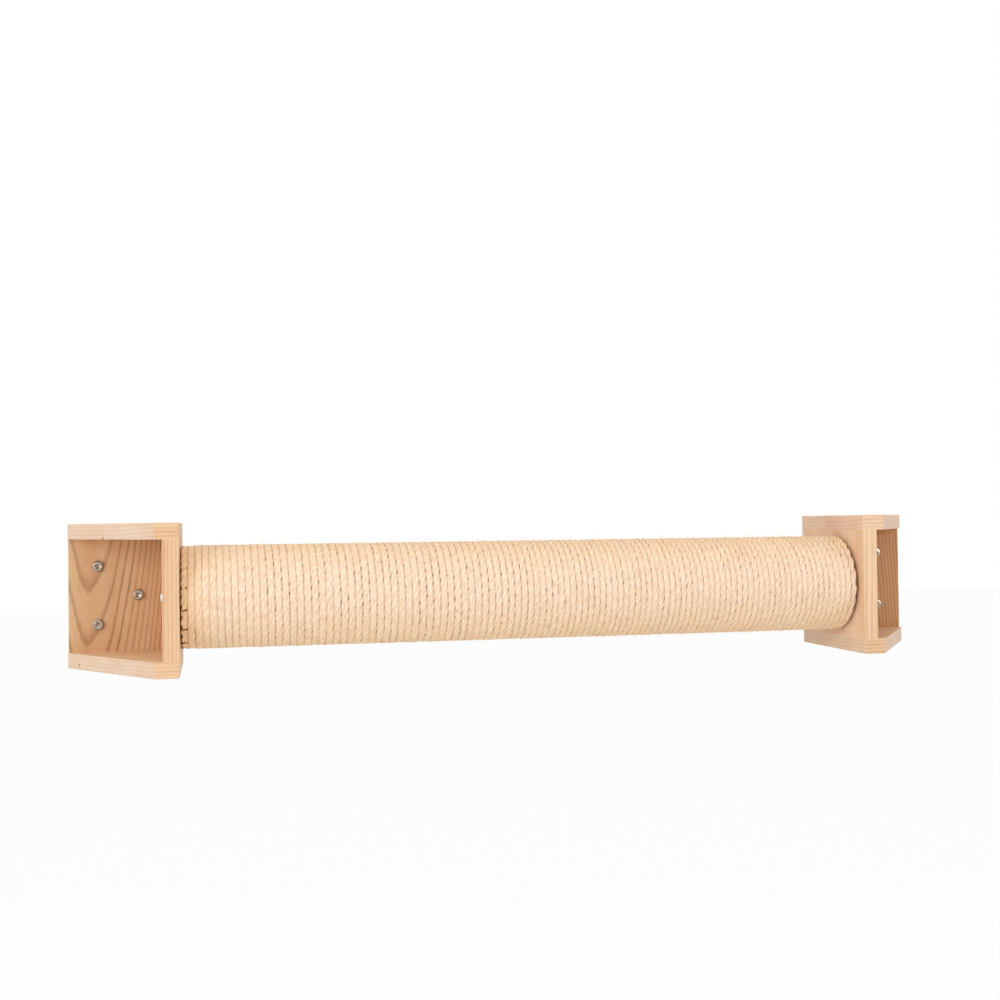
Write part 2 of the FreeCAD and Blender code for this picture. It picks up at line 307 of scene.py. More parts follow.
# How far the slanted edges face along the grain, squared, how much end grain shows there, and the share of
# it that is left on an end cut square
SLANT_SQUARED, SLANT_TINT, SQUARE_SHARE = 0.665, 0.4095, 0.63
# Noise between 0 and 1 moves the rings by up to this much
RING_SWAY, RING_JAG = 2.2 * MM, 0.5 * MM


def fir_board(name, grain, knot):
    """Planed fir, oiled or bare.

    Growth rings are cylinders about the heart of the log, pale in spring and darker and harder towards
    autumn with a sharp edge to the next year. Where a face cuts them they show as stripes, or as tall
    arches on a flat-sawn face. Along the grain run fine fibres that catch the plane. An edge cut across the
    grain on a slant is paler and pinker, and a square end is a little so.
    """
    pith, along, ring_mm, shift, pale, dark, strength = grain
    material, node = new_material(name)
    grain_way = Vector(along).normalized()
    coords = node("TexCoord", out="Object")
    local = node("Mapping", {
        "Vector": coords, "Location": [v * MM for v in pith],
        "Rotation": grain_way.to_track_quat("Z", "Y").to_euler()}, vector_type="TEXTURE")
    # Patterns drawn out along the grain, and the way across it alone
    slow, spiky, drawn, flat = [
        node("VectorMath", [local, (1, 1, share)], operation="MULTIPLY") for share in (0.12, 0.06, 0.03, 0)]

    # The rings wander within about a millimetre over a few centimetres
    sway = node("TexNoise", {"Vector": slow, "Scale": 1 / (28 * MM), "Detail": 2.0})
    sway = node("Math", [sway, RING_SWAY], operation="MULTIPLY")
    # and jag within a quarter of one over a few fibre bundles, which frays the tips of the arches
    jag = node("TexNoise", {"Vector": spiky, "Scale": 1 / (1.6 * MM), "Detail": 1.0})
    sway = node("Math", [jag, RING_JAG, sway], operation="MULTIPLY_ADD")
    radius = node("VectorMath", [flat], out="Value", operation="LENGTH")
    radius = node("Math", [radius, sway], operation="ADD")
    years = node("Math", [radius, 1 / (ring_mm * MM), shift], operation="MULTIPLY_ADD")
    season = node("Math", [years], operation="FRACT")
    autumn = node("MapRange", [season, 0.52, 0.88, 0, 1], interpolation_type="SMOOTHSTEP")
    edge = node("MapRange", [season, 0.89, 1, 1, 0], interpolation_type="SMOOTHSTEP")
    ring = node("Math", [autumn, edge], operation="MULTIPLY")
    ring = node("Math", [ring, 1.4], operation="POWER")
    which = node("Math", [years], operation="FLOOR")
    good_year = node("TexWhiteNoise", {"W": which}, noise_dimensions="1D")
    good_year = node("MapRange", [good_year, 0, 1, 0.55 * strength, strength])
    ring = node("Math", [ring, good_year], operation="MULTIPLY")
    colour = node("Mix", {MIX_FACTOR: ring, MIX_A: linear(pale), MIX_B: linear(dark)}, **COLOUR_MIX)

    # Fibres are 0.03 mm thick, drawn as bundles of 0.6 mm so that they show
    fibres = node("TexNoise", {
        "Vector": drawn, "Scale": 1 / (0.6 * MM), "Detail": 3.0, "Roughness": 0.65})
    shade = node("MapRange", [fibres, 0.3, 0.7, 0.9, 1.06])
    patches = node("TexNoise", {"Vector": slow, "Scale": 1 / (22 * MM), "Detail": 1.0})
    warm = node("MapRange", [patches, 0.35, 0.75, 0, 0.35])
    for factor, tint in ((1.0, shade), (warm, linear(WARM_PATCH))):
        colour = node("Mix", {
            MIX_FACTOR: factor, MIX_A: colour, MIX_B: tint}, blend_type="MULTIPLY", **COLOUR_MIX)

    # Faces cut across the grain
    facing = node("TexCoord", out="Normal")
    across = node("VectorMath", [facing, grain_way], out="Value", operation="DOT_PRODUCT")
    across = node("Math", [across, across], operation="MULTIPLY")
    slanted = node("MapRange", [across, 0, SLANT_SQUARED, 0, SLANT_TINT])
    square = node("MapRange", [across, SLANT_SQUARED, 1, 1, SQUARE_SHARE])
    across = node("Math", [slanted, square], operation="MULTIPLY")
    colour = node("Mix", {MIX_FACTOR: across, MIX_A: colour, MIX_B: linear(END_GRAIN)}, **COLOUR_MIX)
    if knot:
        apart = node("VectorMath", [coords, [v * MM for v in knot]], out="Value", operation="DISTANCE")
        speck = node("MapRange", [apart, 0.7 * MM, 2 * MM, 0.85, 0], interpolation_type="SMOOTHSTEP")
        colour = node("Mix", {MIX_FACTOR: speck, MIX_A: colour, MIX_B: linear(PIN_KNOT)}, **COLOUR_MIX)
    rough = node("MapRange", [fibres, 0.3, 0.7, 0.66, 0.5])
    height = node("Math", [ring, 0.15, fibres], operation="MULTIPLY_ADD")
    finish_material(node, colour, rough, (height, 0.35, 0.08 * MM), IOR=1.5)
    return material


class DressBoards(bpy.types.Operator):
    """Gives the eight boards of the two brackets their own fir grain"""

    bl_idname = "scratching_post.dress_boards"
    bl_label = "Bracket boards"

    def execute(self, context):
        for name, grain in BOARD_GRAIN.items():
            dress(name, fir_board(f"planed_fir_{name}", grain, PIN_KNOTS.get(name)))
        return {"FINISHED"}


# Core

KRAFT_DARK, KRAFT_PALE = "#8F6844", "#B0875D"
PLUG_SPRING, PLUG_AUTUMN = "#EBC898", "#C48F58"
PLUG_HEART = (0, AXIS_Y + 22 * MM, 9 * MM)
PLUG_RING = 3 * MM
NAIL_STEEL = "#B9B6B0"
# The roughness of each steel where it is smoothest and where it is roughest
NAIL_POLISH, STAPLE_POLISH = (0.3, 0.45), (0.35, 0.55)
WALL_SCREW_POLISH, POST_SCREW_POLISH = (0.12, 0.24), (0.2, 0.35)


def kraft_tube():
    """Spiral-wound kraft paper tube: brown and matt, a little cloudy, with the paper's short fibres."""
    material, node = new_material("kraft_paper_tube")
    coords = node("TexCoord", out="Object")
    # Paper fibres are 0.03 mm thick, drawn as tufts of 1.2 mm so that they show
    fibres = node("TexNoise", {"Vector": coords, "Scale": 1 / (1.2 * MM), "Detail": 4.0})
    clouds = node("TexNoise", {"Vector": coords, "Scale": 1 / (30 * MM), "Detail": 2.0})
    blend = node("Math", [fibres, clouds], operation="ADD")
    blend = node("MapRange", [blend, 0.75, 1.25, 0, 1])
    colour = node("Mix", {
        MIX_FACTOR: blend, MIX_A: linear(KRAFT_DARK), MIX_B: linear(KRAFT_PALE)}, **COLOUR_MIX)
    finish_material(node, colour, 0.85, (fibres, 0.3, 0.1 * MM))
    return material


def sawn_plug():
    """Turned softwood plug: end grain ringed about the heart of its log, matt and furry from the saw."""
    material, node = new_material("turned_softwood_plug")
    coords = node("TexCoord", out="Object")
    local = node("VectorMath", [coords, PLUG_HEART], operation="SUBTRACT")
    flat = node("VectorMath", [local, (0, 1, 1)], operation="MULTIPLY")
    radius = node("VectorMath", [flat], out="Value", operation="LENGTH")
    sway = node("TexNoise", {"Vector": coords, "Scale": 1 / (20 * MM)})
    years = node("Math", [radius, 1 / PLUG_RING, sway], operation="MULTIPLY_ADD")
    season = node("Math", [years], operation="FRACT")
    fuzz = node("TexNoise", {"Vector": coords, "Scale": 1 / (0.5 * MM), "Detail": 2.0})
    colour = node("Mix", {
        MIX_FACTOR: season, MIX_A: linear(PLUG_SPRING), MIX_B: linear(PLUG_AUTUMN)}, **COLOUR_MIX)
    finish_material(node, colour, 0.75, (fuzz, 0.4, 0.1 * MM))
    return material


def drawn_steel(name, colour_code, polish):
    """Drawn steel wire or plated steel: bright metal with fine scratches and a cloudy polish."""
    material, node = new_material(name)
    coords = node("TexCoord", out="Object")
    # Scratches are a few hundredths of a millimetre wide, drawn at 0.4 mm so that they show
    scratches = node("TexNoise", {
        "Vector": coords, "Scale": 1 / (0.4 * MM), "Detail": 3.0, "Roughness": 0.7})
    clouds = node("TexNoise", {"Vector": coords, "Scale": 1 / (2.5 * MM), "Detail": 1.0})
    rough = node("MapRange", [clouds, 0.3, 0.7, *polish])
    tint = node("MapRange", [scratches, 0, 1, 0.8, 1.08])
    colour = node("Mix", {
        MIX_FACTOR: 1.0, MIX_A: linear(colour_code), MIX_B: tint}, blend_type="MULTIPLY", **COLOUR_MIX)
    finish_material(node, colour, rough, (scratches, 0.12, 0.02 * MM), Metallic=1.0)
    return material


class DressCore(bpy.types.Operator):
    """Gives the paper tube, the end plugs and the nails their finishes"""

    bl_idname = "scratching_post.dress_core"
    bl_label = "Core, plugs and nails"

    def execute(self, context):
        dress("core_tube", kraft_tube())
        plug = sawn_plug()
        steel = drawn_steel("bright_nail_steel", NAIL_STEEL, NAIL_POLISH)
        for side in SIDES:
            dress(f"{side}_end_plug", plug)
            dress(f"{side}_plug_nails", steel)
            dress(f"{side}_board_nails", steel)
        return {"FINISHED"}


# Rope

# The mesh: rings in a turn round the post, points in a strand, and how the length is cut into pieces
RINGS_PER_TURN = 190
STRANDS = 3
POINTS_PER_STRAND = 8
END_TURNS = 12
MIDDLE_PIECES = 4

# The section, with half the rope's size as one: each strand's radius and how far its middle lies from the
# rope's, where turns press it and on a free side
STRAND_RADIUS, STRAND_OFFSET = 0.735, 0.265
FREE_RADIUS, FREE_OFFSET = 0.464, 0.536
# The power of the squared section, and how far its points move onto the inner and outer face
SQUARENESS, FACE_SHARE = 4.2, 0.33
# Limits in shares of half the height: the outer face, and the flat that sits on the tube
TOP_LIMIT, SEAT_LIMIT = 1.06, 0.9
# The share of the way to the next turn that a turn may fill
HALF_ROOM = 0.498

# Pits where strand valleys meet between turns: how far the sides draw in, how much of that is left where
# the turns are tight, and how the painted shade of the gap fades along a seam and away from it
PIT_DEPTH, TIGHT_PIT = 0.08, 0.92
PIT_LENGTH_POWER, PIT_EDGE_POWER = 0.6, 8
# The first turns are packed: over how many turns, how far their valleys close, and how much squarer they are.
# In the loose stretch the valleys close by a share as well
PACKED_TURNS, PACKED_CLOSE, PACKED_SQUARE = 7, 0.9, 2.0
LOOSE_LEVEL = 0.6

# Both ends lie flat along the side plates: over how many turns, the share of a turn in which the rope
# crosses to the next, and the slit beside the left and the right plate
FLAT_TURNS, CROSSING = 6, 0.16
END_SLITS = (-0.5 * MM, 1.7 * MM)
# The start is pressed lower by a share and rises between these turns; its painted warm shade, the left side
# plate's shadow and warm bounce, fades over so many
START_PRESS, START_TURNS, START_FADE = 0.12, (0.5, 2.6), 1.8
# How much closer the turns lie towards the right, and the step beyond the first and the last turn
CLOSING, END_STEP = 0.03, 1.05
# Dents under the left and the right staples, and how far a dent reaches
STAPLE_PRESS = (1.0 * MM, 0.4 * MM)
STAPLE_REACH = 1.8 * MM
# How far up from level the middle of the painted sheen faces, in radians
SHEEN_TILT = 0.12

# What is uneven along the rope: its size, its pace in radians a turn, and its seed. The sizes are shares, but
# the place is in metres and the twist in radians
UNEVEN = {
    "spacing": (0.012, 1.9, 11),
    "place": (0.1 * MM, 5.3, 12),
    "height": (0.02, 7.1, 13),
    "width": (0.02, 9.7, 14),
    "twist": (1.3, 9.0, 15),
    "bulge": (1.0, 60, 16),
}
# The size of the bulges where the turns are tight, and what the loose stretch adds
TIGHT_BULGE, LOOSE_BULGE = 0.015, 0.035
# Each strand's lumps along the turns and its tone along the length: size, pace, and the first strand's seed
STRAND_LUMPS = (0.035, 23, 30)
STRAND_TONES = (1.0, 70, 40)


def settle(turns):
    """How far the rope lies from an even helix, in turns, this many turns from its end.

    The end turn lies flat along the side plate and crosses to the next one by a smooth step behind the
    post. Each further turn does so a little less.
    """
    whole = np.floor(turns)
    share = turns - whole
    return np.clip(1 - whole / FLAT_TURNS, 0, 1) * (ease((share - 1 + CROSSING) / CROSSING) - share)


class RopeCourse:
    """The rope's way round the post: for each ring its angle, place, tangent, size, twist and length so far.

    The angle runs evenly from the first end to the last. Along the post the rope moves by its spacing each
    turn: a little closer towards the right, wider in the loose stretch by a broad bell curve, with a small
    wander, and flat at both ends. Its middle stays half its height off the tube, and the first turns are
    pressed lower by a smooth step. Each side knows the way to the turn beside it, and how near a valley
    between strands lies to a valley there.
    """

    def __init__(self, rope):
        first, last = rope.first_angle, rope.last_angle + rope.whole_turns * FULL_TURN
        count = int(round((last - first) / FULL_TURN * RINGS_PER_TURN)) + 1
        self.angle = np.linspace(first, last, count)
        self.turn = (self.angle - first) / FULL_TURN
        uneven = {label: wander(self.turn, *sizes) for label, sizes in UNEVEN.items()}
        low = WINDING_LEFT + rope.width / 2 + END_SLITS[0]
        high = WINDING_RIGHT - rope.width / 2 - END_SLITS[1]
        even = np.linspace(low, high, count)
        self.loose = np.exp(-((even - rope.loose_middle) / rope.loose_reach) ** 4)
        spacing = 1 + rope.loose_share * self.loose - CLOSING * even / high + uneven["spacing"]
        way = np.concatenate([[0], np.cumsum((spacing[1:] + spacing[:-1]) / 2)])
        self.x = low + (high - low) * way / way[-1]
        pitch = (high - low) / way[-1] * RINGS_PER_TURN * spacing
        self.x += pitch * (settle(self.turn) - settle(self.turn[-1] - self.turn))
        self.x += uneven["place"] * np.minimum(1, np.minimum(way, way[-1] - way) / RINGS_PER_TURN)
        risen = ease((self.turn - START_TURNS[0]) / (START_TURNS[1] - START_TURNS[0]))
        self.half_height = rope.thickness / 2 * (1 + uneven["height"]) * (1 - START_PRESS * (1 - risen))
        self.radius = TUBE_RADIUS + SEAT + self.half_height
        self.length = (self.angle - first) * (TUBE_RADIUS + SEAT + rope.thickness / 2)
        self.twist = FULL_TURN * self.length / rope.lay + uneven["twist"]
        self.to_next = self.beside(FULL_TURN) - self.x
        self.to_last = self.x - self.beside(-FULL_TURN)
        spread = (rope.tight_spread - rope.loose_give * self.loose) * (1 + uneven["width"])
        spread *= 1 + (TIGHT_BULGE + LOOSE_BULGE * self.loose) * uneven["bulge"]
        self.half_width = (self.to_next + self.to_last) / 4 * spread
        self.open_to_last = self.valley(1, 0) * self.valley(-1, -FULL_TURN)
        self.open_to_next = self.valley(-1, 0) * self.valley(1, FULL_TURN)

    def beside(self, shift):
        """Where along the post the rope lies that many radians further on, or a free step past its ends."""
        step = (self.x[-1] - self.x[0]) / self.turn[-1]
        there = np.interp(self.angle + shift, self.angle, self.x)
        past = (self.angle + shift < self.angle[0]) | (self.angle + shift > self.angle[-1])
        return np.where(past, self.x + np.sign(shift) * step * END_STEP, there)

    def valley(self, way, shift):
        """How near a valley between strands lies to that side, that many radians further on, from 0 to 1."""
        twist = np.interp(self.angle + shift, self.angle, self.twist)
        return 0.5 + 0.5 * np.cos(STRANDS * (way * FULL_TURN / 4 - twist))

    def outward(self):
        """Unit vectors straight off the post."""
        return np.stack([np.zeros_like(self.angle), -np.sin(self.angle), np.cos(self.angle)], axis=-1)

    def tangent(self):
        """Unit vectors along the rope."""
        forward = np.stack([
            np.gradient(self.x, self.angle),
            -self.radius * np.cos(self.angle),
            -self.radius * np.sin(self.angle)], axis=-1)
        return forward / np.linalg.norm(forward, axis=-1, keepdims=True)

    def middle(self):
        """Points on the rope's own middle line."""
        return np.stack([
            self.x,
            AXIS_Y - self.radius * np.sin(self.angle),
            AXIS_Z + self.radius * np.cos(self.angle)], axis=-1)


def staple_angles(rope, fasteners):
    """Angles of the staples over the first turn and over the last, evenly spread from half a step in."""
    steps = (np.arange(fasteners.staple_count) + 0.5) * FULL_TURN / fasteners.staple_count
    end = rope.last_angle + rope.whole_turns * FULL_TURN
    return rope.first_angle + steps, end - steps


def round_strands(off, radius, offset):
    """How far out the edge of three round strands lies, at an angle off a strand's own middle."""
    return offset * np.cos(off) + np.sqrt(np.clip(radius ** 2 - (offset * np.sin(off)) ** 2, 0, None))


def rope_rings(course, pressed):
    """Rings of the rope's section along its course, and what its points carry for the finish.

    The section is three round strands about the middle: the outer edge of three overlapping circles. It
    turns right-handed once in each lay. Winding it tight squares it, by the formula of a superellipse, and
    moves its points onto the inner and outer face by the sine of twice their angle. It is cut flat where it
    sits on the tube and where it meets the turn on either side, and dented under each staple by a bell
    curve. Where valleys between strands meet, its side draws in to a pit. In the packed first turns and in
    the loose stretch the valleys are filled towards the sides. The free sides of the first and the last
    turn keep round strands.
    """
    points = np.arange(STRANDS * POINTS_PER_STRAND)
    turn = (points + 0.5) / len(points) * FULL_TURN
    off = (turn % (FULL_TURN / STRANDS)) - FULL_TURN / STRANDS / 2
    edge = round_strands(off, STRAND_RADIUS, STRAND_OFFSET)
    strand = points // POINTS_PER_STRAND
    lumps, tones = [
        np.stack([wander(place, size, pace, seed + s) for s in range(STRANDS)], axis=-1)[:, strand]
        for place, (size, pace, seed) in ((course.turn, STRAND_LUMPS), (course.length, STRAND_TONES))]
    count, loose = course.turn[:, None], course.loose[:, None]
    whirl = turn[None] + course.twist[:, None]
    whirl -= FACE_SHARE * np.sin(2 * whirl)
    packed = PACKED_CLOSE * np.exp(-(count / PACKED_TURNS) ** 2)
    level = np.maximum(packed, LOOSE_LEVEL * loose)
    square = SQUARENESS * (1 + PACKED_SQUARE * level)
    reach = (edge + (1 - edge) * level * np.sqrt(np.abs(np.sin(whirl)))) * (1 + lumps)
    reach *= (np.abs(np.cos(whirl)) ** square + np.abs(np.sin(whirl)) ** square) ** (-1 / square)
    rise = reach * np.cos(whirl) * course.half_height[:, None]
    side = reach * np.sin(whirl) * course.half_width[:, None]

    pit = np.where(side > 0, course.open_to_last[:, None], course.open_to_next[:, None])
    pit_share = (TIGHT_PIT + (1 - TIGHT_PIT) * loose) * (1 - packed)
    side *= 1 - PIT_DEPTH * pit_share * pit
    top = course.half_height * TOP_LIMIT
    for angles, depth in pressed:
        arc = np.abs(course.angle[:, None] - angles[None]).min(1) * course.radius
        top = top - depth * np.exp(-(arc / STAPLE_REACH) ** 2)
    rise = np.clip(rise, -SEAT_LIMIT * course.half_height[:, None], top[:, None])
    room = HALF_ROOM * np.where(side > 0, course.to_last[:, None], course.to_next[:, None])
    free = np.where(side > 0, count < 1, count > course.turn[-1] - 1)
    free_side = room * round_strands(off, FREE_RADIUS, FREE_OFFSET) * np.sin(whirl)
    side = np.where(free, free_side, np.clip(side, -room, room))

    outward, tangent = course.outward(), course.tangent()
    sideways = np.cross(tangent, outward)
    rings = course.middle()[:, None] + rise[..., None] * outward[:, None]
    rings = rings + side[..., None] * sideways[:, None]
    # Painted warm shade of the left side plate over the first turns
    start = np.exp(-count / START_FADE)
    carried = {
        # Painted shade in the grooves: 0 on a strand's crest, 1 deepest between strands
        "groove": (edge.max() - edge) / (edge.max() - edge.min()),
        "strand_tone": tones,
        "raw_start": start,
        # Painted sheen on the front of the rope, kept off the first turns
        "bleach": np.clip(np.sin(course.angle[:, None] + SHEEN_TILT), 0, 1) ** 2 * (1 - start),
        # Painted shade of the gaps between turns where strand valleys meet
        "pit": pit ** PIT_LENGTH_POWER * (np.abs(side) / room) ** PIT_EDGE_POWER * pit_share,
    }
    carried = {label: np.broadcast_to(values, rise.shape) for label, values in carried.items()}
    carried["fibre_space"] = np.stack(np.broadcast_arrays(rise, side, course.length[:, None]), axis=-1)
    return rings, carried


# Brown flecks of leaf skin, and the painted shade of the gaps between turns
LEAF_SKIN, GAP_SHADE = "#B98A52", "#9A6434"
SHEEN_STRENGTH, PLATE_SHADE_STRENGTH = 0.78, 0.75
# How far yarns slope across the rope for each length along it, and their streaks' width over their length
YARN_SLOPE, YARN_STRETCH = -0.25, 0.22


def sisal_rope(rope):
    """Laid sisal rope: hard leaf fibres, pale straw with a dry silky shine along the fibres.

    The strands differ a little in tone. The front of the rope is paler, a painted sheen, and the first turns
    are more golden, painted warm shade of the left side plate. Fine fibres run along the rope, the grooves
    between strands are browner with painted shade, and there are scattered brown flecks of leaf skin. Where
    two strand valleys meet between turns, brown is painted in for the shade of the gap.
    """
    material, node = new_material("laid_sisal_rope")
    groove, strand_tone, bleach, raw_start, pit = [
        node("Attribute", out="Fac", attribute_name=label)
        for label in ("groove", "strand_tone", "bleach", "raw_start", "pit")]
    space = node("Attribute", out="Vector", attribute_name="fibre_space")

    # Sisal fibres are 0.2 mm thick and run on for centimetres, drawn 0.35 mm thick so that they show; yarns
    # of them show as streaks a millimetre wide
    drawn = node("VectorMath", [space, (1, 1, 0.05)], operation="MULTIPLY")
    fibres = node("TexNoise", {
        "Vector": drawn, "Scale": 1 / (0.35 * MM), "Detail": 2.0, "Roughness": 0.6})
    rise, side, along = node("SeparateXYZ", [space]).node.outputs
    slope = node("Math", [along, YARN_SLOPE, side], operation="MULTIPLY_ADD")
    stretch = node("Math", [along, YARN_STRETCH], operation="MULTIPLY")
    spun = node("CombineXYZ", [rise, slope, stretch])
    yarns = node("TexNoise", {"Vector": spun, "Scale": 1 / (1.35 * MM), "Detail": 1.0})
    flecks = node("TexNoise", {"Vector": spun, "Scale": 1 / (1.1 * MM), "Detail": 1.0})

    tone = node("MapRange", [strand_tone, -1.2, 1.2, 0, 1])
    # Painted sheen on the front of the rope
    bleach = node("Math", [bleach, SHEEN_STRENGTH], operation="MULTIPLY")
    # Painted warm shade on the first turns
    plate_shade = node("Math", [raw_start, PLATE_SHADE_STRENGTH], operation="MULTIPLY")
    streak = node("MapRange", [fibres, 0.3, 0.7, 0.92, 1.05])
    shaded = node("MapRange", [yarns, 0.58, 0.38, 0, 0.68])
    skin = node("MapRange", [flecks, 0.66, 0.74, 0, 0.5])
    # Painted shade in the grooves between strands, deeper with the groove
    groove_shade_mix = node("MapRange", [groove, 0.45, 1, 0, 0.35])
    # Painted shade of the gaps between turns, uneven along a seam
    pit = node("MapRange", [pit, 0.34, 0.7, 0, 0.95])
    uneven = node("MapRange", [flecks, 0.35, 0.65, 0.25, 1.2])
    pit = node("Math", [pit, uneven], operation="MULTIPLY")

    # Tints laid over the palest strands, from the first to the last
    colour = linear(rope.pale)
    for factor, tint, blend in (
            (tone, linear(rope.straw), "MIX"),
            (bleach, linear(rope.painted_sheen), "MIX"),
            (plate_shade, linear(rope.plate_shade), "MIX"),
            (1.0, streak, "MULTIPLY"),
            (shaded, linear(rope.groove), "MIX"),
            (skin, linear(LEAF_SKIN), "MIX"),
            (groove_shade_mix, linear(rope.groove), "MIX"),
            (pit, linear(GAP_SHADE), "MIX")):
        colour = node("Mix", {MIX_FACTOR: factor, MIX_A: colour, MIX_B: tint}, blend_type=blend, **COLOUR_MIX)
    height = node("Math", [yarns, 3.0, fibres], operation="MULTIPLY_ADD")
    rough = node("MapRange", [fibres, 0, 1, 0.72, 0.42])
    finish_material(node, colour, rough, (height, 0.8, 0.3 * MM), IOR=1.45)
    return material


class WindRope(bpy.types.Operator):
    """Winds one length of three-strand rope round the post, in pieces along its length"""

    bl_idname = "scratching_post.wind_rope"
    bl_label = "Rope"

    def execute(self, context):
        rope, fasteners = context.scene.post_rope, context.scene.post_fasteners
        course = RopeCourse(rope)
        rings, carried = rope_rings(course, zip(staple_angles(rope, fasteners), STAPLE_PRESS))
        material = sisal_rope(rope)
        ends = END_TURNS * RINGS_PER_TURN
        inner = np.linspace(ends, len(rings) - 1 - ends, MIDDLE_PIECES + 1).astype(int)
        cuts = [0, *inner, len(rings) - 1]
        nodes = ["left_rope_turns"] + ["rope_middle"] * MIDDLE_PIECES + ["right_rope_turns"]
        for number, (start, stop, node) in enumerate(zip(cuts[:-1], cuts[1:], nodes), start=1):
            part = slice(start, stop + 1)
            add_piece(
                f"rope_{number}", rings[None, part], material, "post", [node],
                {label: values[None, part] for label, values in carried.items()})
        return {"FINISHED"}


# Loose fibres

FIBRE_SEED = 21
FIBRE_SIDES, FIBRE_STATIONS = 3, 5
FIBRE_RADIUS, FIBRE_TAPER = 0.09 * MM, 0.6
# Shares of the rope's length: where fibres may start, and how many are moved to which stretch on the right
FIBRE_LIMITS = (0.012, 0.988)
MOVED_SHARE, RIGHT_START, RIGHT_REACH = 0.35, 0.55, 0.43
# Where a fibre starts, in shares of half the rope's height and width
ROOT_RISE, ROOT_SPREAD = 0.8, 0.6
# A fibre's slopes off the rope and across it, how much it bends, and its length over the mean
LIFT, DRIFT, BEND, LENGTH_SPREAD = (0.15, 0.75), 0.5, 0.45, (0.4, 1.6)


def sisal_fibre(rope):
    """Single sisal fibres: pale straw, a little glossy, each a slightly different tone along its length."""
    material, node = new_material("loose_sisal_fibre")
    coords = node("TexCoord", out="Object")
    tone = node("TexNoise", {"Vector": coords, "Scale": 1 / (6 * MM), "Detail": 1.0})
    colour = node("Mix", {
        MIX_FACTOR: tone, MIX_A: linear(rope.pale), MIX_B: linear(rope.straw)}, **COLOUR_MIX)
    finish_material(node, colour, 0.5, IOR=1.5)
    return material


def fibre_rings(course, rope):
    """Rings of many thin fibres: three-sided, tapering, on paths that bend as the square of the way out.

    Each starts a little inside the rope's outer face at a random ring, and leaves along the rope, forwards or
    backwards, lifting off by a random slope. More of them stand on the right half of the post.
    """
    draw = np.random.default_rng(FIBRE_SEED)
    count = rope.fibre_count
    share = draw.uniform(*FIBRE_LIMITS, count)
    share = np.where(draw.uniform(size=count) < MOVED_SHARE, RIGHT_START + RIGHT_REACH * share, share)
    ring = (share * (len(course.angle) - 1)).astype(int)
    outward, tangent = course.outward()[ring], course.tangent()[ring]
    sideways = np.cross(tangent, outward)
    start = course.middle()[ring] + (ROOT_RISE * course.half_height[ring])[:, None] * outward
    start += (course.half_width[ring] * draw.uniform(-ROOT_SPREAD, ROOT_SPREAD, count))[:, None] * sideways
    way = draw.choice([-1.0, 1.0], count)[:, None] * tangent
    lift = draw.uniform(*LIFT, count)[:, None]
    way += lift * outward + draw.uniform(-DRIFT, DRIFT, count)[:, None] * sideways
    way /= np.linalg.norm(way, axis=-1, keepdims=True)
    bend = draw.normal(0, BEND, (count, 3))
    long = rope.fibre_length * draw.uniform(*LENGTH_SPREAD, count)
    out = np.linspace(0, 1, FIBRE_STATIONS)
    path = start[:, None] + long[:, None, None] * (
        out[None, :, None] * way[:, None] + 0.5 * (out ** 2)[None, :, None] * bend[:, None])
    across = np.cross(way, outward)
    across /= np.linalg.norm(across, axis=-1, keepdims=True)
    upright = np.cross(way, across)
    thick = FIBRE_RADIUS * (1 - FIBRE_TAPER * out)
    turn = np.arange(FIBRE_SIDES) / FIBRE_SIDES * FULL_TURN
    return path[:, :, None] + thick[None, :, None, None] * (
        np.cos(turn)[None, None, :, None] * across[:, None, None]
        + np.sin(turn)[None, None, :, None] * upright[:, None, None])


class AddFibres(bpy.types.Operator):
    """Scatters loose fibres over the rope"""

    bl_idname = "scratching_post.add_fibres"
    bl_label = "Loose fibres"

    def execute(self, context):
        rope = context.scene.post_rope
        rings = fibre_rings(RopeCourse(rope), rope)
        add_piece("loose_fibres", rings, sisal_fibre(rope), "post")
        return {"FINISHED"}


# Staples

STAPLE_SEED = 5
# How far the legs go into the tube, the corners' radius, and the air between the legs and the rope
STAPLE_BITE, STAPLE_CORNER, STAPLE_ROOM = 3 * MM, 0.5 * MM, 0.1 * MM
# How far the crown dips, how much deeper the topmost one sits than a level one, the share of half the wire
# that is bevelled, and the range of their turns in radians
CROWN_DIP, SINK_SWING, STAPLE_BEVEL, STAPLE_TURNS = 0.7 * MM, 0.4 * MM, 0.25, (-0.45, 0.15)


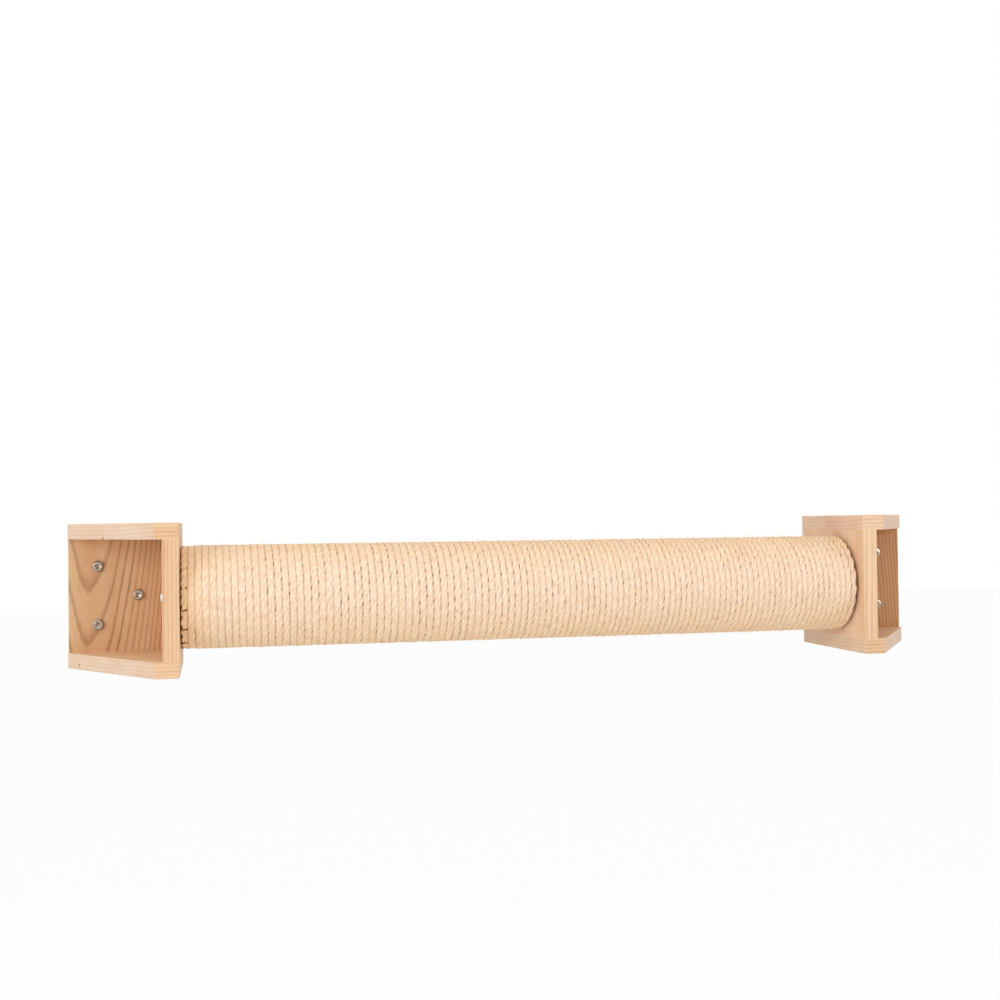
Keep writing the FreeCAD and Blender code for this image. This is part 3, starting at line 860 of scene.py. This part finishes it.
def staple_rings(course, angles, rope, wire, sink):
    """Rings of flat-wire staples: a bevelled strip carried along a U with rounded corners.

    The path goes up one leg out of the tube, round a quarter circle, over the rope with the middle pressed
    in by a half sine, round the other corner and down. The strip's width lies along the rope, and each
    staple is turned a little and driven deeper at the top of the post than at the bottom, as the gun was
    held.
    """
    width, thick = wire
    half = rope.width / 2 + STAPLE_ROOM
    top = TUBE_RADIUS + SEAT + rope.thickness + STAPLE_CORNER - sink
    foot = TUBE_RADIUS - STAPLE_BITE
    corner = np.linspace(0, math.pi / 2, 5)
    crown = np.linspace(-1, 1, 9)[1:-1]
    inner = half - STAPLE_CORNER
    leg = np.concatenate([[-half, -half], -inner - STAPLE_CORNER * np.cos(corner)])
    side = np.concatenate([leg, inner * crown, -leg[::-1]])
    leg_rise = np.concatenate([[foot, (foot + top) / 2], top - STAPLE_CORNER * (1 - np.sin(corner))])
    rise = np.concatenate([leg_rise, top - CROWN_DIP * np.cos(crown * math.pi / 2), leg_rise[::-1]])
    path = np.stack([side, rise], axis=-1)
    step = np.gradient(path, axis=0)
    step /= np.linalg.norm(step, axis=-1, keepdims=True)
    normal = np.stack([-step[:, 1], step[:, 0]], axis=-1)
    near = 1 - STAPLE_BEVEL
    around = np.array([
        (1, -near), (1, near), (near, 1), (-near, 1), (-1, near), (-1, -near), (-near, -1), (near, -1)])
    flat = path[:, None] + (thick / 2 * around[None, :, 1:]) * normal[:, None]
    along = -width / 2 * np.broadcast_to(around[None, :, 0], flat.shape[:2])[None]
    across, out = flat[None, ..., 0], flat[None, ..., 1]
    place = np.interp(angles, course.angle, course.x)[:, None, None]
    sine, cosine = np.sin(angles)[:, None, None], np.cos(angles)[:, None, None]
    out = out - SINK_SWING * cosine
    tilt = np.random.default_rng(STAPLE_SEED).uniform(*STAPLE_TURNS, len(angles))[:, None, None]
    across, along = across * np.cos(tilt) - along * np.sin(tilt), across * np.sin(tilt) + along * np.cos(tilt)
    return np.stack([
        place + across,
        AXIS_Y - out * sine - along * cosine,
        AXIS_Z + out * cosine - along * sine], axis=-1)


class SetStaples(bpy.types.Operator):
    """Sets the staples that hold the rope's first and last turn"""

    bl_idname = "scratching_post.set_staples"
    bl_label = "Staples"

    def execute(self, context):
        rope, fasteners = context.scene.post_rope, context.scene.post_fasteners
        course = RopeCourse(rope)
        steel = drawn_steel("shade_darkened_staple_wire", fasteners.shade_dark_staple_steel, STAPLE_POLISH)
        for side, angles, sink in zip(SIDES, staple_angles(rope, fasteners), fasteners.staple_sink):
            rings = staple_rings(course, angles, rope, fasteners.staple_wire, sink)
            add_piece(f"{side}_staples", rings, steel, "post", [f"{side}_rope_staples"])
        return {"FINISHED"}


# Screws

SCREW_COLUMNS = 96
POINT_LENGTH = 6 * MM
POINT_TIP = 0.04
# Half the base of the thread's ridge, as a share of its pitch
RIDGE_HALF = 0.24
# Bare shank under the head
WALL_SHANK, POST_SHANK = 14 * MM, 17 * MM
# The head in shares of its radius and of its height: its flat top, its rim's edge and where the top starts
HEAD_FLAT, RIM_EDGE, TOP_START = 0.72, 0.22, 0.92
# The powers of the cosine and the sine in the rim's curve
RIM_IN, RIM_UP = 0.75, 0.85
CROSS_HALF_WIDTH, CROSS_ARM, CROSS_DEPTH = 0.75 * MM, 3.1 * MM, 1.9 * MM
# How steep the recess's sides are, and the share of its depth that is left at the ends of its arms
CROSS_SLOPE, CROSS_END = 4.5, 0.15
# How far each head's cross is turned, in radians
WALL_CROSS_TURNS = {"left": (0.55, 0.2, 1.1), "right": (0.9, 0.35, 0.1)}
POST_CROSS_TURN = 0.4


def screw_rings(size, pitch, bare, seat, head_way, cross_turn):
    """Rings of a pan-head screw, from its point up to the middle of its head.

    The core is a cylinder with a cone for a point. The thread is a right-handed triangular ridge: its
    height depends on the way along the screw less the share of a turn. The head is a flat underside and a
    quarter of a rounded square, and the cross recess cuts into it: two crossed channels with sloping sides
    that get shallower outwards.
    """
    length, thread, core, head, head_height = size
    point = np.linspace(length, length - POINT_LENGTH, 25)
    body = np.arange(length - POINT_LENGTH, bare, -pitch / 9)[1:]
    shank = np.linspace(bare, 0, 4)
    under = np.linspace(thread / 2, head / 2, 5)[1:]
    curl = np.linspace(0, math.pi / 2, 14)[1:]
    inward = np.linspace(1, 0.02, 40)[1:]
    rim = head / 2 * (HEAD_FLAT + (1 - HEAD_FLAT) * np.cos(curl) ** RIM_IN)
    lift = head_height * (RIM_EDGE + (TOP_START - RIM_EDGE) * np.sin(curl) ** RIM_UP)
    crown = head_height * (TOP_START + (1 - TOP_START) * (1 - inward ** 2))
    way = np.concatenate([point, body, shank, np.zeros(len(under)), -lift, -crown])
    taper = np.clip((length - way) / POINT_LENGTH, POINT_TIP, 1)
    radius = np.concatenate([
        np.full(len(point) + len(body), core / 2), np.full(len(shank), thread / 2),
        under, rim, HEAD_FLAT * head / 2 * inward])
    radius = np.where(way > 0, radius * taper, radius)
    turn = np.arange(SCREW_COLUMNS) / SCREW_COLUMNS * FULL_TURN
    phase = (-way[:, None] / pitch - turn[None] / FULL_TURN) % 1
    ridge = np.clip(1 - np.abs(phase - 0.5) / RIDGE_HALF, 0, 1) * (thread - core) / 2
    threaded = (way > bare + 0.01 * MM)[:, None]
    radius = radius[:, None] + np.where(threaded, ridge * taper[:, None], 0)
    first, second = radius * np.cos(turn), radius * np.sin(turn)
    across = first * math.cos(cross_turn) + second * math.sin(cross_turn)
    up = second * math.cos(cross_turn) - first * math.sin(cross_turn)
    cuts = [
        np.clip(np.minimum((CROSS_HALF_WIDTH - np.abs(b)) * CROSS_SLOPE,
                           CROSS_DEPTH * (1 + CROSS_END - np.abs(a) / CROSS_ARM)), 0, CROSS_DEPTH)
        * (np.abs(a) < CROSS_ARM)
        for a, b in ((across, up), (up, across))]
    on_head = (way < -0.5 * head_height)[:, None]
    depth = way[:, None] + np.where(on_head, np.maximum(*cuts), 0)
    head_way = Vector(head_way)
    first_way = head_way.orthogonal().normalized()
    second_way = head_way.cross(first_way)
    return (np.array(seat) + first[..., None] * np.array(first_way) + second[..., None] * np.array(second_way)
            - depth[..., None] * np.array(head_way))


class DriveWallScrews(bpy.types.Operator):
    """Drives the three pan-head screws of each bracket into the wall"""

    bl_idname = "scratching_post.drive_wall_screws"
    bl_label = "Wall screws"

    def execute(self, context):
        fasteners = context.scene.post_fasteners
        zinc = drawn_steel("reflection_darkened_zinc_wall_screw", fasteners.zinc, WALL_SCREW_POLISH)
        rise = fasteners.wall_screw_rise
        for side, sign in SIDES.items():
            far = sign * (PLATE_INSIDE + fasteners.wall_screw_far)
            near = sign * (PLATE_INSIDE + fasteners.wall_screw_near)
            rings = np.stack([
                screw_rings(fasteners.wall_screw_size, fasteners.thread_pitch, WALL_SHANK,
                            (x, WALL_PLATE_FRONT, z), (0, -1, 0), turn)
                for (x, z), turn in zip([(far, rise), (near, 0), (far, -rise)], WALL_CROSS_TURNS[side])])
            add_piece(
                f"{side}_wall_pan_screws", rings, zinc, "brackets", [f"{side}_wall_screws"])
        return {"FINISHED"}


class DrivePostScrews(bpy.types.Operator):
    """Drives the pan-head screw on the post's axis at each end"""

    bl_idname = "scratching_post.drive_post_screws"
    bl_label = "Post screws"

    def execute(self, context):
        fasteners = context.scene.post_fasteners
        zinc = drawn_steel("highlight_zinc_post_screw", fasteners.highlight_zinc, POST_SCREW_POLISH)
        for side, sign in SIDES.items():
            rings = screw_rings(
                fasteners.post_screw_size, fasteners.thread_pitch, POST_SHANK,
                (sign * PLATE_OUTSIDE, AXIS_Y, AXIS_Z), (sign, 0, 0), POST_CROSS_TURN)
            add_piece(
                f"{side}_post_pan_screw", rings[None], zinc, "post", [f"{side}_post_screw"])
        return {"FINISHED"}


# Studio

# Each soft box: its place and size in metres, and its power in watts
LAMPS = {
    "left_soft_box": ((-2.9, -2.5, 0.9), 2.0, 52),
    "right_soft_box": ((2.9, -2.5, 0.9), 2.0, 34.5),
    "top_soft_box": ((-0.3, -0.9, 1.8), 1.6, 13),
    "low_soft_box": ((-0.1, -0.5, -0.7), 0.7, 0.8),
}
WHITE = (1, 1, 1, 1)
FLOOR_WHITE = "#F4F4F2"
# How far the floor goes each way, in metres, and its points along each side
FLOOR_REACH, FLOOR_POINTS = 15, 7
# How far from the origin the floor shows the shadow that falls on it, in metres, and how much of plain
# white is mixed in right below the object and beyond that
SHADOW_REACH = 1.5
WHITE_NEAR, WHITE_FAR = 0.3, 0.95


def straight_rays(node):
    """One for rays that show the background itself: to the camera, in a reflection or through glass."""
    seen = node("LightPath", out="Is Camera Ray")
    path = seen.node
    for ray in ("Is Glossy Ray", "Is Transmission Ray"):
        seen = node("Math", [seen, path.outputs[ray]], operation="MAXIMUM")
    return seen


def studio_floor(level):
    """A pale floor: a flat grid of points at one height.

    It is matt white card. Near the object it shows the soft shadow, and further off it fades into the white
    surroundings.
    """
    steps = np.linspace(-FLOOR_REACH, FLOOR_REACH, FLOOR_POINTS)
    x, y = np.meshgrid(steps, steps)
    points = np.stack([x, y, np.full_like(x, level)], axis=-1).reshape(-1, 3)
    here = np.arange(len(points)).reshape(x.shape)
    faces = np.stack([here[:-1, :-1], here[:-1, 1:], here[1:, 1:], here[1:, :-1]], axis=-1).reshape(-1, 4)
    mesh = bpy.data.meshes.new("studio_floor")
    mesh.from_pydata(points.tolist(), [], faces.tolist())
    floor = new_object("studio_floor", mesh)
    material, node = new_material("matt_white_floor")
    coords = node("TexCoord", out="Object")
    apart = node("VectorMath", [coords], out="Value", operation="LENGTH")
    white = node("MapRange", [
        apart, -level, SHADOW_REACH, WHITE_NEAR, WHITE_FAR], interpolation_type="SMOOTHSTEP")
    seen = node("Math", [straight_rays(node), white], operation="MULTIPLY")
    matt = node("BsdfDiffuse", {"Color": linear(FLOOR_WHITE)})
    glow = node("Emission", {"Color": WHITE, "Strength": 1.0})
    both = node("MixShader", [seen, matt, glow])
    node("OutputMaterial", {"Surface": both})
    mesh.materials.append(material)


def white_world(level):
    """White surroundings that light the object at one level and show as plain white."""
    world = bpy.data.worlds.new("white_studio")
    world.use_nodes = True
    world.node_tree.nodes.clear()
    node = partial(add_node, world.node_tree)
    lit, shown = [
        node("Background", {"Color": WHITE, "Strength": strength}) for strength in (level, 1.0)]
    both = node("MixShader", [straight_rays(node), lit, shown])
    node("OutputWorld", {"Surface": both})
    bpy.context.scene.world = world


def add_lamp(name, place, aim, size, power):
    """A square soft box that faces a point."""
    lamp = bpy.data.lights.new(name, "AREA")
    lamp.shape = "SQUARE"
    lamp.size = size
    lamp.energy = power
    holder = new_object(name, lamp)
    holder.location = place
    holder.rotation_euler = (Vector(aim) - Vector(place)).to_track_quat("-Z", "Y").to_euler()


class SetStudio(bpy.types.Operator):
    """Sets the camera, the floor, the lamps and the white surroundings"""

    bl_idname = "scratching_post.set_studio"
    bl_label = "Studio"

    def execute(self, context):
        scene, studio = context.scene, context.scene.post_studio
        view = bpy.data.cameras.new("photo_view")
        view.sensor_fit = "HORIZONTAL"
        view.sensor_width = 36
        view.lens = studio.lens
        view.clip_start = 0.05
        view.clip_end = 60
        camera = new_object("photo_view", view)
        yaw, pitch, roll = studio.camera_turn
        placed = Matrix.Translation(studio.camera_place)
        for turn, axis in ((-yaw, "Z"), (math.pi / 2 + pitch, "X"), (-roll, "Z")):
            placed = placed @ Matrix.Rotation(turn, 4, axis)
        camera.matrix_world = placed
        scene.camera = camera
        scene.view_settings.view_transform = "Standard"
        white_world(studio.world_level)
        studio_floor(studio.floor_level)
        for name, (place, size, power) in LAMPS.items():
            add_lamp(name, place, (0, AXIS_Y, 0), size, power)
        return {"FINISHED"}


# Add-on


class ScratchingPostPanel(bpy.types.Panel):
    """Lists the steps and the settings in the sidebar"""

    bl_idname = "VIEW3D_PT_scratching_post"
    bl_label = "Scratching post"
    bl_space_type = "VIEW_3D"
    bl_region_type = "UI"
    bl_category = "Scratching post"

    def draw(self, context):
        for operator in OPERATORS:
            self.layout.operator(operator.bl_idname)
        for label in SETTINGS:
            box = self.layout.box()
            group = getattr(context.scene, label)
            for key in group.__annotations__:
                box.prop(group, key)


OPERATORS = (
    SetStudio, DressBoards, DressCore, WindRope, AddFibres, SetStaples, DriveWallScrews, DrivePostScrews)
SETTINGS = {"post_rope": RopeSettings, "post_fasteners": FastenerSettings, "post_studio": StudioSettings}
CLASSES = (*SETTINGS.values(), *OPERATORS, ScratchingPostPanel)


def register():
    for kind in CLASSES:
        bpy.utils.register_class(kind)
    for label, kind in SETTINGS.items():
        setattr(bpy.types.Scene, label, PointerProperty(type=kind))


def unregister():
    for label in SETTINGS:
        delattr(bpy.types.Scene, label)
    for kind in reversed(CLASSES):
        bpy.utils.unregister_class(kind)


def main():
    register()
    bpy.ops.scratching_post.set_studio()
    bpy.ops.scratching_post.dress_boards()
    bpy.ops.scratching_post.dress_core()
    bpy.ops.scratching_post.wind_rope()
    bpy.ops.scratching_post.add_fibres()
    bpy.ops.scratching_post.set_staples()
    bpy.ops.scratching_post.drive_wall_screws()
    bpy.ops.scratching_post.drive_post_screws()
    bpy.context.view_layer.update()


if __name__ == "__main__":
    main()
